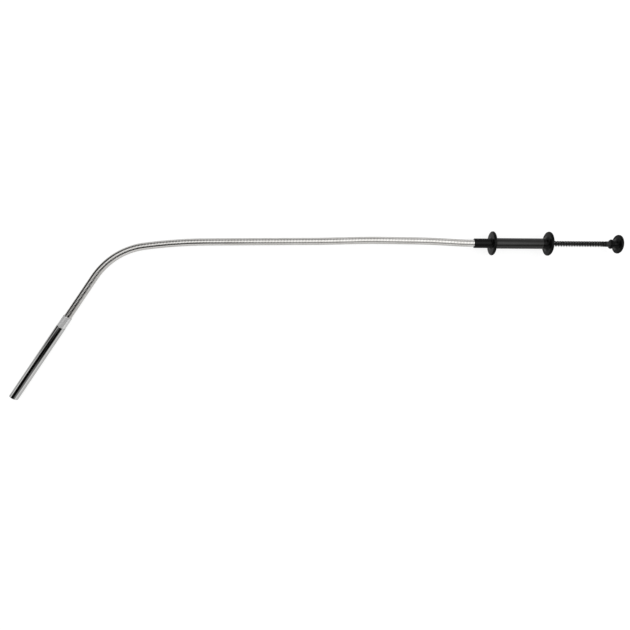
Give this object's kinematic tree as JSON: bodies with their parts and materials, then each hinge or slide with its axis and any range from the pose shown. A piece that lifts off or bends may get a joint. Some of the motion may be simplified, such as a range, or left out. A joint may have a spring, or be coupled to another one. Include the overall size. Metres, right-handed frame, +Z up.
{
  "type": "flexible claw pick-up tool",
  "caption": "Flexible claw pick-up tool: a sprung thumb button pushes a wire through a bend-and-stay wound shaft, and spring claws spread from the tube at its tip.",
  "frame": {"origin": "bottom centre of the bounding box, on the bench that the tool lies on", "axes": "+X from the tip's side towards the thumb button, +Z up from the bench, +Y away from the side that the tip is bent to"},
  "size_m": [0.539, 0.1522, 0.0224],
  "materials": {
    "black_moulding": "moulded black plastic, smooth, slightly worn at the rims",
    "black_barrel": "satin black enamel on a steel tube",
    "black_spring": "black oiled spring wire",
    "dark_steel": "blackened steel",
    "wound_steel": "close-wound bright wire",
    "inner_coil_steel": "plain spring steel",
    "pale_liner": "natural slippery plastic",
    "drawn_wire": "drawn wire",
    "bright_ferrule": "bright nickel plate",
    "polished_tube": "polished stainless tube",
    "turned_brass": "turned brass",
    "claw_wire": "spring wire"
  },
  "bodies": {
    "tool_body": {"nose_flange": "black_moulding", "grip_barrel": "black_barrel", "rear_flange": "black_moulding", "rod_guide_bush": "turned_brass", "spring_washer": "dark_steel", "return_spring": "black_spring", "shaft_winding": "wound_steel", "shaft_core_coil": "inner_coil_steel", "wire_liner": "pale_liner", "push_wire": "drawn_wire", "tip_ferrule": "bright_ferrule", "tip_tube": "polished_tube"},
    "plunger": {"thumb_button": "black_moulding", "seat_ferrule": "dark_steel", "plunger_rod": "dark_steel", "wire_coupler": "turned_brass"},
    "claw_carrier": {"claw_hub": "turned_brass", "wire_end_sleeve": "drawn_wire"},
    "claw_1": {"claw_1": "claw_wire"},
    "claw_2": {"claw_2": "claw_wire"},
    "claw_3": {"claw_3": "claw_wire"},
    "claw_4": {"claw_4": "claw_wire"}
  },
  "joints": [
    {"name": "plunger_slide", "type": "slide", "parent": "tool_body", "child": "plunger", "axis": [-0.9997, -0.0004, -0.0236], "range_m": [0, 0.022], "stiffness_N_per_m": 250, "springref_m": -0.01, "deforming": ["return_spring", "push_wire"]},
    {"name": "claw_carrier_slide", "type": "slide", "parent": "tool_body", "child": "claw_carrier", "axis": [-0.5521, -0.8337, 0.0125], "range_m": [0, 0.022]},
    {"name": "claw_1_spread", "type": "hinge", "parent": "claw_carrier", "child": "claw_1", "pos_m": [-0.25206, -0.05467, 0.00465], "axis": [-0.0236, 0.0306, 0.9993], "range_deg": [0, 14.12]},
    {"name": "claw_2_spread", "type": "hinge", "parent": "claw_carrier", "child": "claw_2", "pos_m": [-0.25309, -0.05398, 0.00581], "axis": [-0.8335, 0.5514, -0.0365], "range_deg": [0, 14.12]},
    {"name": "claw_3_spread", "type": "hinge", "parent": "claw_carrier", "child": "claw_3", "pos_m": [-0.25406, -0.05335, 0.00456], "axis": [0.0236, -0.0306, -0.9993], "range_deg": [0, 14.12]},
    {"name": "claw_4_spread", "type": "hinge", "parent": "claw_carrier", "child": "claw_4", "pos_m": [-0.25304, -0.05405, 0.00341], "axis": [0.8335, -0.5514, 0.0365], "range_deg": [0, 14.12]}
  ],
  "couplings": [
    {"joint": "claw_carrier_slide", "follows": "plunger_slide", "ratio": 1},
    {"joint": "claw_1_spread", "follows": "plunger_slide", "rad_per_m": 11.201},
    {"joint": "claw_2_spread", "follows": "plunger_slide", "rad_per_m": 11.201},
    {"joint": "claw_3_spread", "follows": "plunger_slide", "rad_per_m": 11.201},
    {"joint": "claw_4_spread", "follows": "plunger_slide", "rad_per_m": 11.201}
  ]
}
